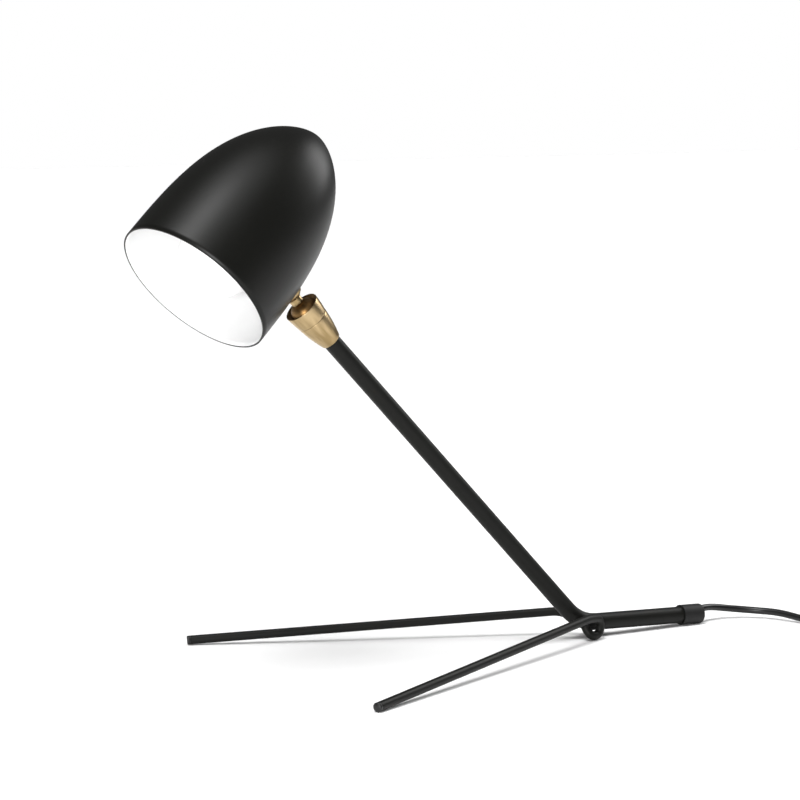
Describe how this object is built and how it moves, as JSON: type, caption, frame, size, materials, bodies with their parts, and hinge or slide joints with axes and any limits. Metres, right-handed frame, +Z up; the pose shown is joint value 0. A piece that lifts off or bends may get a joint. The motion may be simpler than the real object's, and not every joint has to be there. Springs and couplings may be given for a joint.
{
  "type": "table_lamp",
  "caption": "Black tripod table lamp with a rounded conical shade on a brass ball joint, a bent-tube stem that ends as the rear leg, bent-rod front legs with small eyes and a plug-in cord.",
  "frame": {"origin": "centre of the bottom of the bounding box without the cord, on the surface the lamp stands on", "axes": "+Z up, +X from the shade to the rear leg and cord exit, +Y across"},
  "size_m": [0.5258, 0.2703, 0.3025],
  "materials": {
    "black_paint": "satin",
    "shade_paint": "satin",
    "white_paint": "matte",
    "brass": "brushed",
    "brass_sheet": "plain",
    "steel": "plain",
    "aluminium": "plain",
    "black_plastic": "matte",
    "black_rubber": "matte",
    "white_plastic": "matte",
    "frosted_glass": "frosted",
    "cord_sheath": "smooth",
    "white_lead": "smooth",
    "plug_plastic": "matte",
    "pin_metal": "polished"
  },
  "bodies": {
    "base": {"stem_tube": "black_paint", "near_leg_rod": "black_paint", "far_leg_rod": "black_paint", "near_foot_tip": "black_plastic", "far_foot_tip": "black_plastic", "rear_end_cap": "black_rubber", "cord_bush": "black_rubber", "joint_cup": "brass", "joint_collar": "brass", "disc_spring": "steel", "stem_nipple": "steel", "nipple_nut": "steel", "inner_lead": "cord_sheath", "cord": "cord_sheath", "cord_tail": "cord_sheath", "cord_coil": "cord_sheath", "cord_tie": "black_plastic", "plug_body": "plug_plastic", "plug_left_pin": "pin_metal", "plug_right_pin": "pin_metal"},
    "swivel": {"ball_seat": "white_plastic"},
    "tilt": {"joint_ball": "brass"},
    "head": {"ball_stud": "brass", "shade": "shade_paint", "stud_boss": "brass", "inner_spacer": "white_paint", "holder_bracket": "white_paint", "lock_washer": "steel", "stud_nut": "steel", "lampholder_body": "white_plastic", "lampholder_ring": "white_plastic", "lampholder_shell": "brass_sheet", "lampholder_contact": "brass_sheet", "bulb_globe": "frosted_glass", "bulb_cap": "aluminium", "bulb_contact": "brass_sheet", "holder_lead": "white_lead"}
  },
  "joints": [
    {"name": "shade_swivel", "type": "hinge", "parent": "base", "child": "swivel", "pos_m": [-0.08546, 0, 0.20103], "axis": [-0.6937, 0, 0.7203], "range_deg": [-175, 175]},
    {"name": "shade_tilt", "type": "hinge", "parent": "swivel", "child": "tilt", "pos_m": [-0.08546, 0, 0.20103], "axis": [-0.0903, 0.9921, -0.0869], "range_deg": [-35, 35]},
    {"name": "shade_twist", "type": "hinge", "parent": "tilt", "child": "head", "pos_m": [-0.08546, 0, 0.20103], "axis": [-0.6798, 0.0024, 0.7334], "range_deg": [-90, 90]}
  ]
}
